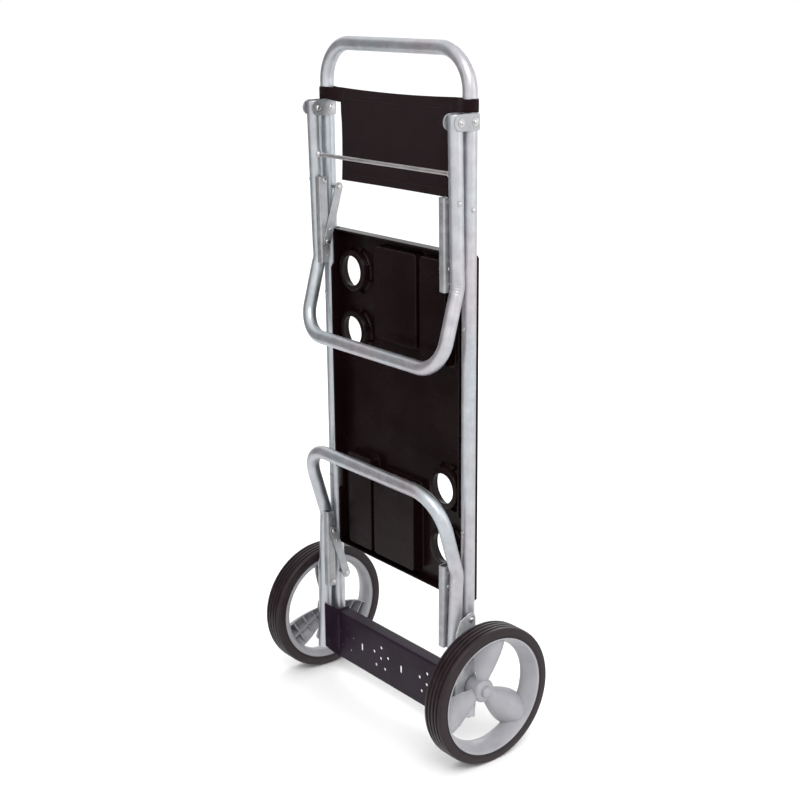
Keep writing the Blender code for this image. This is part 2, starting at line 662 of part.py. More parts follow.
def main():
    clear_scene()
    alu = material("aluminium_tube", (0.62, 0.63, 0.65), 1.0, 0.38)
    zinc = material("zinc_plate", (0.48, 0.49, 0.50), 1.0, 0.45)
    steel = material("plated_steel", (0.60, 0.60, 0.61), 1.0, 0.30)
    dark = material("dark_coated_steel", (0.018, 0.014, 0.022), 0.0, 0.45)
    black = material("black_moulding", (0.012, 0.012, 0.013), 0.0, 0.28)
    rubber = material("tyre_rubber", (0.022, 0.019, 0.018), 0.0, 0.70)
    grey = material("wheel_plastic", (0.40, 0.41, 0.42), 0.0, 0.45)
    cloth = material("back_cloth_weave", (0.015, 0.014, 0.015), 0.0, 0.90)

    frame_tube = build_frame_tube(alu)
    top_leg = build_leg("top_leg_tube", TOP_PIVOT, TOP_BEND, TOP_BAR, LEG_TAIL, TOP_CORNER_R, alu)
    low_leg = build_leg("low_leg_tube", LOW_PIVOT, LOW_BEND, LOW_BAR, LEG_TAIL_LOW, LOW_CORNER_R, alu)
    holes = build_cross_holes(zinc)
    for tube in (frame_tube, top_leg, low_leg):
        boolean(tube, holes, "DIFFERENCE")
    build_plates(zinc, dark, holes)
    build_fasteners(steel, steel)
    build_braces(zinc, steel, holes)
    build_wheels(rubber, grey, grey)
    build_toe(dark)
    top = build_table_top(black)
    build_table_screws(steel, frame_tube, top)
    build_cloth(cloth)


main()
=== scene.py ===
"""Looks of the convertible hand truck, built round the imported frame.  Metres, +Z up."""

import math

import bmesh
import bpy
from mathutils import Matrix, Vector, noise


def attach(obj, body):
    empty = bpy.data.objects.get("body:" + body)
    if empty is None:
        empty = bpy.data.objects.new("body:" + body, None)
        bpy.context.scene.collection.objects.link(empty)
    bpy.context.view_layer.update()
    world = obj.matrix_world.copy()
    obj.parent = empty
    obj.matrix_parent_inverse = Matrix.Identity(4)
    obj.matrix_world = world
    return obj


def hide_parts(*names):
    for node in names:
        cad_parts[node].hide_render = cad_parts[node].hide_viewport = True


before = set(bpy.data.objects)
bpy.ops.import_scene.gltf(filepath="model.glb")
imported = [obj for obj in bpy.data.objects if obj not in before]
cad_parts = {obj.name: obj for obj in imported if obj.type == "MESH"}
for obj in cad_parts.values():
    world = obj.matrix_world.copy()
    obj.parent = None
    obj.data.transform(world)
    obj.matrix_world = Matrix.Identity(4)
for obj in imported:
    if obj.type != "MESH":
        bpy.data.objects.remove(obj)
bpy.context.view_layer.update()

MM = 0.001
DATUM = 5.5                # drawing height zero is this far above the ground, in mm
SIDES = (("left", -1), ("right", 1))

# ---- drawing dimensions in mm, (Y, Z) from the frame tube's middle plane and the datum ----
HALF_W = 200.0             # tube middles from the truck's middle
TUBE_R = 12.7
TUBE_IN_R = 11.2
FOOT_Z = 58.0
HANDLE_Z = 1265.8
HANDLE_BEND_R = 70.0
LEG_BEND_R = 60.0
# pivot, knee bend, cross bar, tube beyond the pivot, bend radius in side view
TOP_LEG = ((-32.0, 1149.5), (-26.3, 872.0), (-66.0, 728.7), 13.0, 56.0)
LOW_LEG = ((-38.0, 80.0), (-26.2, 350.0), (-70.0, 501.1), 19.0, 66.0)
# leg, its brace's leg pin, frame pin and knee
BRACES = (("top", (-32.0, 1017.5), (-1.5, 1004.0), (-31.0, 903.82)),
          ("low", (-33.5, 211.0), (-3.0, 222.0), (-33.0, 322.08)))
PLATE_T = 2.5
OUTER_PLATE_X = 213.0
INNER_PLATE_X = 184.5
CHANNEL_X = (170.0, 185.5)
FLAT_LINK_X = (166.6, 169.4)
CHANNEL_LEAD = 8.0         # channel beyond its leg pin and beyond its knee
CHANNEL_TAIL = 40.0
FLAT_LINK_R = 8.4
PIN_R = 2.5
AXLE_Z = 126.0
WHEEL_X0 = 231.5
WHEEL_X1 = 275.4
SPOKES = {"right": (79.0, -41.0, -161.0), "left": (89.0, -31.0, -151.0)}
TOE_HINGE = (-9.0, 37.0)
TOE_HALF_W = 181.0
TOE_HOLE_R = 3.1
TOE_HOLE_GROUPS_X = (-155.0, -43.0, 99.0)
TOE_HOLES = ((-22.0, 90.5), (1.0, 106.0), (-1.0, 82.5), (22.0, 91.0), (-16.0, 63.5), (12.0, 63.5))
TOE_SLOTS_X = (-105.0, 20.0)
TABLE_Z0 = 285.5
TABLE_Z1 = 924.0
TABLE_HALF_W = 206.0
CUPS = [(-132.7, 849.5), (132.7, 371.5), (-132.7, 733.1), (132.7, 487.9)]
TRAYS = [(-148.0, -74.6, 300.0, 492.0), (-67.4, 56.0, 300.0, 474.0)]      # x0, x1, z0, z1
TRAYS += [(-x1, -x0, TABLE_Z0 + TABLE_Z1 - z1, TABLE_Z0 + TABLE_Z1 - z0) for x0, x1, z0, z1 in TRAYS]
CLOTH_X = 162.0
CLOTH_Z0 = 1017.0
CLOTH_H = 169.5
HEM_TOP = 19.0
HEM_SIDE = 12.0
HEM_LOW = 13.0
LOOP_Z0 = 1164.0
LOOP_H = 21.9
# the photograph's view, from a camera fitted to the frame and the wheels
CAMERA_AZ = 51.475
CAMERA_EL = 16.561
CAMERA_ROLL = -0.546
CAMERA_LENS = 63.64
CAMERA_PLACE = (1974.33, -1565.59, 1374.46)


def at(x, y, z):
    return Vector((x, y, z + DATUM)) * MM


# ================================================================ materials
THREADS = 380.0            # scale of the cloth's weave

class Net:
    """A Principled material and the few node chains that it is made from."""

    def __init__(self, name, rough, metallic=0.0, **extra):
        self.mat = bpy.data.materials.new(name)
        self.mat.use_nodes = True
        self.tree = self.mat.node_tree
        self.bsdf = self.tree.nodes["Principled BSDF"]
        self.bsdf.inputs["Roughness"].default_value = rough
        self.bsdf.inputs["Metallic"].default_value = metallic
        for key, value in extra.items():
            self.bsdf.inputs[key.replace("_", " ")].default_value = value
        self.coords = self.add("ShaderNodeTexCoord")

    def add(self, kind, **props):
        node = self.tree.nodes.new(kind)
        for key, value in props.items():
            setattr(node, key, value)
        return node

    def join(self, out, into):
        self.tree.links.new(out, into)

    def stretched(self, source, scale):
        mapping = self.add("ShaderNodeMapping")
        mapping.inputs["Scale"].default_value = scale
        self.join(source, mapping.inputs["Vector"])
        return mapping.outputs["Vector"]

    def space(self, scale=(1.0, 1.0, 1.0)):
        return self.stretched(self.coords.outputs["Object"], scale)

    def along(self, scale):
        uv = self.add("ShaderNodeUVMap", uv_map="along")
        return self.stretched(uv.outputs["UV"], scale)

    def noise(self, vector, scale, detail=3.0, rough=0.55):
        node = self.add("ShaderNodeTexNoise")
        node.inputs["Scale"].default_value = scale
        node.inputs["Detail"].default_value = detail
        node.inputs["Roughness"].default_value = rough
        self.join(vector, node.inputs["Vector"])
        return node.outputs["Fac"]

    def threads(self, direction):
        """Woven bands across X or Z, slightly uneven."""
        node = self.add("ShaderNodeTexWave", bands_direction=direction)
        node.inputs["Scale"].default_value = THREADS
        node.inputs["Distortion"].default_value = 0.6
        node.inputs["Detail"].default_value = 1.0
        self.join(self.space(), node.inputs["Vector"])
        return node.outputs["Fac"]

    def product(self, a, b):
        node = self.add("ShaderNodeMath", operation="MULTIPLY")
        self.join(a, node.inputs[0])
        self.join(b, node.inputs[1])
        return node.outputs[0]

    def ramp(self, fac, *stops):
        """Two (position, colour) stops."""
        node = self.add("ShaderNodeValToRGB")
        for element, (where, colour) in zip(node.color_ramp.elements, stops):
            element.position = where
            element.color = (*colour, 1.0)
        self.join(fac, node.inputs["Fac"])
        return node.outputs["Color"]

    def mix(self, fac, a, b, blend="MIX"):
        node = self.add("ShaderNodeMix", data_type="RGBA", blend_type=blend)
        node.inputs[0].default_value = fac
        self.join(a, node.inputs[6])
        self.join(b, node.inputs[7])
        return node.outputs[2]

    def tinted(self, base, tone):
        return self.mix(1.0, base, tone, "MULTIPLY")

    def colour(self, socket):
        self.join(socket, self.bsdf.inputs["Base Color"])

    def roughness(self, fac, low, high):
        """Roughness from low to high as fac goes over the middle of its range."""
        node = self.add("ShaderNodeMapRange")
        for key, value in (("From Min", 0.3), ("From Max", 0.7), ("To Min", low), ("To Max", high)):
            node.inputs[key].default_value = value
        self.join(fac, node.inputs["Value"])
        self.join(node.outputs["Result"], self.bsdf.inputs["Roughness"])

    def bumps(self, *layers):
        """Each layer is (height, distance in metres)."""
        below = None
        for height, distance in layers:
            node = self.add("ShaderNodeBump")
            node.inputs["Distance"].default_value = distance
            self.join(height, node.inputs["Height"])
            if below is not None:
                self.join(below, node.inputs["Normal"])
            below = node.outputs["Normal"]
        self.join(below, self.bsdf.inputs["Normal"])


def grey(v):
    return (v, v, v)


def make_aluminium():
    n = Net("tube_aluminium_satin", 0.40, 0.92)
    blotch = n.noise(n.space(), 38.0, 5.0, 0.65)
    tint = n.noise(n.space((1.0, 1.0, 0.4)), 9.0, 2.0)
    base = n.ramp(blotch, (0.32, (0.50, 0.515, 0.54)), (0.70, (0.64, 0.66, 0.69)))
    cool = n.ramp(tint, (0.36, (1.0, 0.925, 0.935)), (0.64, (0.945, 0.99, 1.0)))
    lines = n.noise(n.along((150.0, 14.0, 1.0)), 1.0, 3.0, 0.75)
    streaks = n.ramp(lines, (0.30, grey(0.86)), (0.70, grey(1.08)))
    n.colour(n.tinted(n.tinted(base, cool), streaks))
    n.roughness(n.mix(0.5, blotch, lines), 0.32, 0.50)
    n.bumps((lines, 0.00006), (n.noise(n.space(), 85.0, 2.0), 0.00016))
    return n.mat


def make_zinc(name, metallic, low, high):
    n = Net(name, 0.42, metallic)
    patch = n.noise(n.space(), 70.0, 5.0, 0.65)
    cloud = n.noise(n.space(), 16.0, 3.0)
    base = n.ramp(patch, (0.30, low), (0.72, high))
    n.colour(n.tinted(base, n.ramp(cloud, (0.35, grey(0.86)), (0.65, grey(1.04)))))
    n.roughness(patch, 0.34, 0.55)
    n.bumps((n.noise(n.space((1.0, 1.0, 0.06)), 900.0, 2.0), 0.00003), (patch, 0.00008))
    return n.mat


def make_steel():
    n = Net("pin_bright_steel", 0.30, 1.0)
    wear = n.noise(n.space(), 120.0, 4.0)
    n.colour(n.ramp(wear, (0.3, (0.52, 0.51, 0.51)), (0.7, (0.70, 0.69, 0.68))))
    n.roughness(wear, 0.22, 0.42)
    n.bumps((n.noise(n.space(), 700.0, 2.0), 0.00003))
    return n.mat


def make_rod():
    n = Net("rod_drawn_steel", 0.34, 0.95)
    wear = n.noise(n.space((0.2, 1.0, 1.0)), 160.0, 4.0)
    n.colour(n.ramp(wear, (0.3, (0.48, 0.455, 0.46)), (0.7, (0.66, 0.63, 0.63))))
    n.roughness(wear, 0.26, 0.46)
    n.bumps((n.noise(n.space((0.02, 1.0, 1.0)), 1500.0, 2.0), 0.00003))
    return n.mat


def make_powder():
    n = Net("powder_coat_dark", 0.42, Specular_IOR_Level=0.15)
    grain = n.noise(n.space(), 1400.0, 2.0, 0.6)
    cloud = n.noise(n.space(), 14.0, 3.0)
    n.colour(n.ramp(cloud, (0.35, (0.0120, 0.0062, 0.0125)), (0.65, (0.0195, 0.0105, 0.0215))))
    n.roughness(grain, 0.36, 0.50)
    n.bumps((grain, 0.00006), (n.noise(n.space(), 240.0, 2.0), 0.00008))
    return n.mat


def make_moulding():
    n = Net("table_moulding_black", 0.24, Specular_IOR_Level=0.14)
    cloud = n.noise(n.space(), 9.0, 3.0)
    n.colour(n.ramp(cloud, (0.35, (0.0050, 0.0015, 0.0017)), (0.65, (0.0078, 0.0028, 0.0034))))
    n.roughness(cloud, 0.20, 0.32)
    n.bumps((n.noise(n.space(), 900.0, 3.0, 0.6), 0.00003), (n.noise(n.space(), 30.0, 2.0), 0.0003))
    return n.mat


def make_rubber():
    n = Net("tyre_rubber_dull", 0.52, Specular_IOR_Level=0.30)
    dust = n.noise(n.space(), 45.0, 5.0, 0.6)
    n.colour(n.ramp(dust, (0.30, (0.0110, 0.0060, 0.0072)), (0.72, (0.0215, 0.0125, 0.0145))))
    n.roughness(dust, 0.31, 0.52)
    n.bumps((n.noise(n.space(), 1100.0, 3.0, 0.65), 0.00006))
    return n.mat


def make_wheel_plastic():
    n = Net("wheel_plastic_grey", 0.38)
    cloud = n.noise(n.space(), 22.0, 4.0)
    n.colour(n.ramp(cloud, (0.30, (0.270, 0.268, 0.288)), (0.70, (0.335, 0.332, 0.356))))
    n.roughness(cloud, 0.32, 0.46)
    n.bumps((n.noise(n.space(), 800.0, 2.0), 0.00003))
    return n.mat


def make_cloth():
    n = Net("back_cloth_black_weave", 0.86, Specular_IOR_Level=0.06, Sheen_Weight=0.03, Sheen_Roughness=0.5)
    weave = n.product(n.threads("X"), n.threads("Z"))
    cloud = n.noise(n.space(), 30.0, 4.0)
    yarn = n.ramp(weave, (0.0, (0.0080, 0.0036, 0.0044)), (0.8, (0.0215, 0.0100, 0.0122)))
    n.colour(n.tinted(yarn, n.ramp(cloud, (0.3, grey(0.82)), (0.7, grey(1.12)))))
    n.roughness(cloud, 0.80, 0.92)
    n.bumps((weave, 0.00025), (n.noise(n.space(), 260.0, 2.0), 0.0002))
    return n.mat


def make_thread():
    n = Net("seam_thread_black", 0.75)
    fuzz = n.noise(n.space(), 2000.0, 2.0)
    n.colour(n.ramp(fuzz, (0.3, (0.012, 0.009, 0.010)), (0.7, (0.028, 0.022, 0.024))))
    n.bumps((fuzz, 0.0001))
    return n.mat


ALUMINIUM = make_aluminium()
ZINC = make_zinc("link_zinc_plate", 0.85, (0.36, 0.366, 0.382), (0.53, 0.537, 0.552))
ZINC_PALE = make_zinc("axle_zinc_plate", 0.55, (0.52, 0.53, 0.55), (0.74, 0.75, 0.77))
STEEL = make_steel()
ROD = make_rod()
POWDER = make_powder()
MOULDING = make_moulding()
RUBBER = make_rubber()
GREY_PLASTIC = make_wheel_plastic()
CLOTH = make_cloth()
THREAD = make_thread()


# ================================================================ mesh helpers
def linked(name, data):
    obj = bpy.data.objects.new(name, data)
    bpy.context.scene.collection.objects.link(obj)
    return obj


def soften(obj, width, segments, sharp):
    """Round the edges sharper than an angle in degrees, width in mm."""
    mod = obj.modifiers.new("edges", "BEVEL")
    mod.width = width * MM
    mod.segments = segments
    mod.limit_method = "ANGLE"
    mod.angle_limit = math.radians(sharp)
    mod.harden_normals = True


def piece(name, shape, mat, body, nodes=(), bevel=0.0, segments=2, sharp=35.0, uvs=None):
    """A closed mesh (vertices in metres, faces) becomes a piece on a body, and may replace CAD nodes."""
    verts, faces = shape
    bm = bmesh.new()
    made = [bm.verts.new(v) for v in verts]
    layer = bm.loops.layers.uv.new("along") if uvs else None
    for k, face in enumerate(faces):
        new = bm.faces.new([made[i] for i in face])
        if uvs:
            for loop, uv in zip(new.loops, uvs[k]):
                loop[layer].uv = uv
    bmesh.ops.recalc_face_normals(bm, faces=bm.faces)
    mesh = bpy.data.meshes.new(name)
    bm.to_mesh(mesh)
    bm.free()
    mesh.polygons.foreach_set("use_smooth", [True] * len(mesh.polygons))
    obj = linked(name, mesh)
    mesh.materials.append(mat)
    if bevel:
        soften(obj, bevel, segments, sharp)
    else:
        mesh.set_sharp_from_angle(angle=math.radians(sharp))
    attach(obj, body)
    if nodes:
        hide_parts(*nodes)
    return obj


def joined(parts):
    verts = []
    faces = []
    for more_verts, more_faces in parts:
        base = len(verts)
        verts.extend(more_verts)
        faces.extend([[i + base for i in face] for face in more_faces])
    return verts, faces


def capped(n):
    """Faces of a prism of n sides: its first n vertices are one end, the next n the other."""
    walls = [(i, (i + 1) % n, n + (i + 1) % n, n + i) for i in range(n)]
    return walls + [tuple(range(n)), tuple(range(2 * n - 1, n - 1, -1))]


def prism(outline, a, b, axis=0):
    """An outline extruded from a to b along X (axis 0) or Y (axis 1), in mm."""
    verts = []
    for level in (a, b):
        for u, v in outline:
            verts.append(at(level, u, v) if axis == 0 else at(u, level, v))
    return verts, capped(len(outline))


def arc(cu, cv, r, a0, a1, n):
    turns = [math.radians(a0 + (a1 - a0) * k / n) for k in range(n + 1)]
    return [(cu + r * math.cos(a), cv + r * math.sin(a)) for a in turns]


def round_corner(before, corner, after, r, steps):
    """The arc of radius r that replaces a corner."""
    into = (corner - before).normalized()
    away = (after - corner).normalized()
    turn = into.angle(away)
    setback = r * math.tan(turn / 2)
    side = (away - into * into.dot(away)).normalized()
    centre = corner - into * setback + side * r
    turns = [turn * k / steps for k in range(steps + 1)]
    return [centre - side * r * math.cos(a) + into * r * math.sin(a) for a in turns]


def rounded_outline(points, radii, n=6):
    """A closed outline with each corner rounded by one radius, or by its own."""
    pts = [Vector(p) for p in points]
    out = []
    for i, p in enumerate(pts):
        r = radii[i] if isinstance(radii, tuple) else radii
        turn = round_corner(pts[i - 1], p, pts[(i + 1) % len(pts)], r, n) if r > 0 else [p]
        out.extend([tuple(q) for q in turn])
    return out


def fillet(points, radii, steps):
    """An open path with its inner corners rounded."""
    pts = [Vector(p) for p in points]
    path = [pts[0]]
    for i in range(1, len(pts) - 1):
        path.extend(round_corner(pts[i - 1], pts[i], pts[i + 1], radii[i - 1], steps))
    return path + [pts[-1]]


def turned(profile, cy, cz, sides, axis=0):
    """A closed profile of (along, radius) points turned round an X axis line, or a Y one."""
    verts = []
    rings = []
    for along, r in profile:
        count = sides if r > 0 else 1
        rings.append(range(len(verts), len(verts) + count))
        for k in range(count):
            a = 2 * math.pi * k / sides
            u = cy + r * math.cos(a)
            v = cz + r * math.sin(a)
            verts.append(at(along, u, v) if axis == 0 else at(u, along, v))
    faces = []
    for low, high in zip(rings, rings[1:] + rings[:1]):
        if len(low) == 1 and len(high) == 1:
            continue
        for i in range(sides):
            j = (i + 1) % sides
            if len(low) == 1:
                faces.append((low[0], high[i], high[j]))
            elif len(high) == 1:
                faces.append((low[i], low[j], high[0]))
            else:
                faces.append((low[i], low[j], high[j], high[i]))
    return verts, faces


def lathe(name, side, profile, centre, sides, mat, body, nodes=(), sharp=40.0):
    """A piece turned round an X axis line through (Y, Z); its profile is for the right side."""
    shape = turned([(side * x, r) for x, r in profile], centre[0], centre[1], sides)
    return piece(name, shape, mat, body, nodes, sharp=sharp)


def shell_faces(rows, across):
    """Faces of a thin shell: two grids of vertices, one after the other, joined all round."""
    stride = across + 1
    block = stride * (rows + 1)
    faces = []
    for i in range(rows):
        for k in range(across):
            a = i * stride + k
            faces.append((a, a + 1, a + stride + 1, a + stride))
            faces.append((block + a, block + a + stride, block + a + stride + 1, block + a + 1))
    rim = list(range(across)) + [i * stride + across for i in range(rows)]
    rim += [rows * stride + k for k in range(across, 0, -1)] + [i * stride for i in range(rows, 0, -1)]
    for a, b in zip(rim, rim[1:] + rim[:1]):
        faces.append((a, b, block + b, block + a))
    return faces


# ================================================================ tubes
CRIMP_HALF = 22.0          # length of the pressed marks at a knee bend, each way
CRIMP_PITCH = 5.5
CRIMP_DEPTH = 1.25
CRIMP_BULGE = 0.30
END_ROUND = 0.45


def spaced(path, fine, coarse, spots):
    """More points along the path: fine steps near the given spots, coarse ones elsewhere."""
    near = 45.0
    out = [path[0]]
    for a, b in zip(path, path[1:]):
        length = (b - a).length
        here = min([((a + b) / 2 - s).length - length / 2 for s in spots] or [coarse])
        count = max(1, math.ceil(length / (fine if here < near else coarse)))
        out.extend([a.lerp(b, k / count) for k in range(1, count + 1)])
    return out


def crimped(spot, inward, centre, out):
    """How far a knee bend's press marks move a point of the tube, out is its direction from the middle."""
    d = (centre - spot).length * (1 if (centre - spot).z > 0 else -1)
    if abs(d) >= CRIMP_HALF:
        return 0.0
    window = math.cos(math.pi * d / (2 * CRIMP_HALF)) ** 2
    face = max(0.0, out.dot(inward))
    press = 0.25 + 0.75 * math.sin(math.pi * d / CRIMP_PITCH) ** 2
    return CRIMP_BULGE * window * (1 - face) * abs(out.x) - CRIMP_DEPTH * window * press * face ** 1.2


def tube(node, path, body, crimps=(), sides=40):
    """A thin-walled tube swept along a path in mm, with crimp marks pressed in at its tight bends."""
    count = len(path)
    tangents = [(path[min(i + 1, count - 1)] - path[max(i - 1, 0)]).normalized() for i in range(count)]
    normal = Vector((1.0, 0.0, 0.0))
    normal = (normal - tangents[0] * normal.dot(tangents[0])).normalized()
    runs = [0.0]
    for a, b in zip(path, path[1:]):
        runs.append(runs[-1] + (b - a).length)
    verts = []
    for i in range(count):
        if i:
            normal = tangents[i - 1].rotation_difference(tangents[i]) @ normal
            normal = (normal - tangents[i] * normal.dot(tangents[i])).normalized()
        other = tangents[i].cross(normal)
        rounding = max(0.0, END_ROUND - min(runs[i], runs[-1] - runs[i]))
        for base in (TUBE_R, TUBE_IN_R):
            for k in range(sides):
                a = 2 * math.pi * k / sides
                out = normal * math.cos(a) + other * math.sin(a)
                r = base
                if base == TUBE_R:
                    r += sum(crimped(spot, inward, path[i], out) for spot, inward in crimps) - rounding
                verts.append(at(*(path[i] + out * r)))
    faces = []
    uvs = []
    stride = 2 * sides
    for i in range(count - 1):
        for k in range(sides):
            j = (k + 1) % sides
            for base in (0, sides):
                a = i * stride + base
                b = a + stride
                faces.append((a + k, a + j, b + j, b + k))
                lo = runs[i] * MM
                hi = runs[i + 1] * MM
                uvs.append(((k / sides, lo), ((k + 1) / sides, lo), ((k + 1) / sides, hi), (k / sides, hi)))
    for a in (0, (count - 1) * stride):
        for k in range(sides):
            j = (k + 1) % sides
            faces.append((a + k, a + j, a + sides + j, a + sides + k))
            uvs.append(((0, 0), (0.01, 0), (0.01, 0.001), (0, 0.001)))
    return piece(node + "_fine", (verts, faces), ALUMINIUM, body, [node], sharp=50.0, uvs=uvs)


def build_tubes():
    lip = 0.6              # a short first step, so that the ends' rounding stays at the ends
    corners = [(-HALF_W, 0, FOOT_Z), (-HALF_W, 0, HANDLE_Z), (HALF_W, 0, HANDLE_Z), (HALF_W, 0, FOOT_Z)]
    path = fillet(corners, (HANDLE_BEND_R,) * 2, 22)
    up = Vector((0, 0, lip))
    path = [path[0], path[0] + up] + path[1:-1] + [path[-1] + up, path[-1]]
    tube("frame_tube", spaced(path, 9.0, 120.0, []), "frame", sides=48)
    for body, (pivot, bend, bar, tail, bend_r) in (("top_leg", TOP_LEG), ("low_leg", LOW_LEG)):
        along = (Vector(bend) - Vector(pivot)).normalized()
        side = [tuple(Vector(pivot) - along * tail), bend, bar]
        corners = [(-HALF_W, y, z) for y, z in side] + [(HALF_W, y, z) for y, z in reversed(side)]
        path = fillet(corners, (LEG_BEND_R, bend_r, bend_r, LEG_BEND_R), 18)
        spots = [Vector((x, bend[0], bend[1])) for x in (-HALF_W, HALF_W)]
        first = (path[1] - path[0]).normalized() * lip
        path = [path[0], path[0] + first] + path[1:-1] + [path[-1] + Vector((0, first.y, first.z)), path[-1]]
        inward = Vector((0.0, -1.0, 0.12 if bar[1] < bend[1] else -0.12)).normalized()
        tube(body + "_tube", spaced(path, 1.3, 120.0, spots), body, [(s, inward) for s in spots])


# ================================================================ plates, bolts, pins
def build_plates():
    """The four plates of each side, as (Y, Z) outlines."""
    # a bracket round the top leg's pivot, with two small corners behind the frame tube
    py, pz = TOP_LEG[0]
    bracket_r = 14.0
    corner_r = 3.0
    corner_y = 5.5
    drop = bracket_r - corner_r
    top = arc(py, pz, bracket_r, -90.0, -270.0, 22)
    top += arc(corner_y, pz + drop, corner_r, 90.0, 0.0, 6)
    top += arc(corner_y, pz - drop, corner_r, 0.0, -90.0, 6)
    # a long plate from the low leg's pivot to its own round top on the frame tube
    ly, lz = LOW_LEG[0]
    side = arc(ly, lz, 11.5, 285.0, 180.0, 12) + [(-40.0, 104.0), (-40.0, 238.0), (-30.0, 262.0)]
    side += arc(-6.0, 260.0, 12.0, 120.0, 0.0, 12) + [(6.0, 58.0)]
    # a cheek beside the toe plate, down to a boss round the toe's hinge
    boss_r = 8.0
    cheek = [(-46.0, 66.0), (-46.0, 160.0), (-43.0, 160.0), (-12.0, 138.0), (14.0, 138.0), (14.0, 72.0)]
    cheek += arc(TOE_HINGE[0], TOE_HINGE[1], boss_r, 20.0, -160.0, 14)
    plates = (("top_bracket_outer_", OUTER_PLATE_X, top, ZINC),
              ("top_bracket_inner_", INNER_PLATE_X, top, ZINC),
              ("axle_plate_outer_", OUTER_PLATE_X, side, ZINC_PALE),
              ("axle_cheek_inner_", INNER_PLATE_X, cheek, POWDER))
    for label, s in SIDES:
        for tag, x0, outline, mat in plates:
            shape = prism(outline, s * x0, s * (x0 + PLATE_T))
            piece(tag + label + "_fine", shape, mat, "frame", [tag + label], bevel=0.55, segments=3)


def dome(x, out, r, h, base_r=None):
    """Profile of a domed head standing on x and rising towards out (+1 or -1), on a washer of base_r."""
    pts = [(x, r)]
    if base_r:
        pts = [(x, base_r), (x + out * 0.9, base_r - 0.3), (x + out * 0.9, r)]
    for k in range(1, 7):
        a = math.radians(90 * k / 6)
        pts.append((x + out * (0.25 * h + 0.75 * h * math.sin(a)), r * math.cos(a) if k < 6 else 0.0))
    return pts


def build_bolts():
    face = OUTER_PLATE_X + PLATE_T + 0.2
    shank = 4.0
    head_r = 5.4
    head_washer_r = 6.8
    nut_r = 4.7
    nut_washer_r = 6.7
    # tag, (Y, Z), where its inner head stands, height of that head and of its nut
    bolts = (("top_pivot_bolt_", TOP_LEG[0], 184.3, 3.0, 3.4),
             ("top_frame_bolt_", (-1.5, 1149.5), 184.3, 3.0, 3.4),
             ("low_pivot_bolt_", LOW_LEG[0], 184.3, 2.6, 2.6),
             ("low_frame_bolt_", (-4.0, 259.0), 187.2, 2.6, 2.6),
             ("foot_bolt_", (0.0, 84.0), 184.3, 2.6, 2.6))
    for label, s in SIDES:
        for tag, spot, x_in, head_h, nut_h in bolts:
            name = tag + label
            inner = dome(x_in, -1, head_r, head_h, head_washer_r)
            if tag in ("low_pivot_bolt_", "foot_bolt_"):
                lathe(name + "_head", s, [(x_in + 0.1, 0.0)] + inner, spot, 28, POWDER, "frame")
                inner = [(x_in + 0.4, shank), (x_in + 0.4, 0.0)]
            nut = dome(face, 1, nut_r, nut_h + 1.0, nut_washer_r)
            profile = inner[::-1] + [(x_in + 0.4, shank), (face, shank)] + nut
            lathe(name + "_fine", s, profile, spot, 28, STEEL, "frame", [name])
        for leg, leg_pin, frame_pin, knee in BRACES:
            build_pins(leg, label, s, leg_pin, frame_pin, knee)
    screw = [(15.2, 0.0), (15.2, 2.0), (-12.85, 2.0), (-12.85, 4.2), (-13.5, 4.1), (-14.2, 3.2), (-14.6, 1.8),
             (-14.6, 0.0)]
    for label, s in SIDES:
        for tag, z in (("upper", 800.0), ("lower", 426.0)):
            name = "table_screw_%s_%s" % (tag, label)
            shape = turned(screw, s * HALF_W, z, 24, axis=1)
            piece(name + "_fine", shape, STEEL, "frame", [name], sharp=40.0)


def build_pins(leg, label, s, leg_pin, frame_pin, knee):
    """The three pins of one folding brace."""
    inside = FLAT_LINK_X[1] + 0.3
    channel = 185.8
    tube_face = 186.9
    collar = 4.4
    tail = [(212.2, PIN_R), (212.2, 0.0)]
    if leg == "top":
        tail = [(212.9, PIN_R)] + dome(212.95, 1, 4.6, 2.2)
    profile = dome(inside, -1, 4.6, 1.9)[::-1]
    profile += [(inside, PIN_R), (channel, PIN_R), (channel, collar), (tube_face, collar), (tube_face, PIN_R)]
    name = leg + "_leg_pin_" + label
    lathe(name + "_fine", s, profile + tail, leg_pin, 24, STEEL, leg + "_leg", [name])
    head = 166.3
    profile = dome(head, -1, 4.8, 2.0)[::-1]
    profile += [(head, PIN_R), (inside, PIN_R), (inside, collar), (tube_face, collar), (tube_face, PIN_R)]
    name = leg + "_frame_pin_" + label
    lathe(name + "_fine", s, profile + tail, frame_pin, 24, STEEL, "frame", [name])
    profile = [(inside, 0.0), (inside, PIN_R), (channel, PIN_R), (channel, 4.0), (186.4, 3.4),
               (tube_face, 1.8), (tube_face, 0.0)]
    name = leg + "_knee_pin_" + label
    lathe(name + "_fine", s, profile, knee, 24, STEEL, leg + "_leg_link_" + label, [name])


def build_rods():
    # each is the outline of the rod's right half
    cross = [(203.0, 0.0), (203.0, 3.0), (202.2, 3.8), (187.0, 3.8), (187.0, 6.8), (186.6, 7.0), (185.0, 7.0),
             (183.2, 3.8)]
    hinge = [(191.4, 0.0), (191.4, 2.6), (190.4, 4.6), (189.6, 5.0), (187.4, 5.0), (187.4, 3.0)]
    axle = [(252.0, 0.0), (252.0, 4.4), (251.4, 5.0), (218.4, 5.0), (218.4, 8.8), (218.2, 9.0), (216.0, 9.0),
            (216.0, 5.0)]
    rods = (("cross_rod", cross, (-30.2, 1064.5), 28, ROD, "top_leg"),
            ("toe_hinge_rod", hinge, TOE_HINGE, 24, STEEL, "frame"),
            ("axle", axle, (0.0, AXLE_Z), 28, STEEL, "frame"))
    for name, half, centre, sides, mat, body in rods:
        profile = [(-x, r) for x, r in half] + half[::-1]
        lathe(name + "_fine", 1, profile, centre, sides, mat, body, [name])


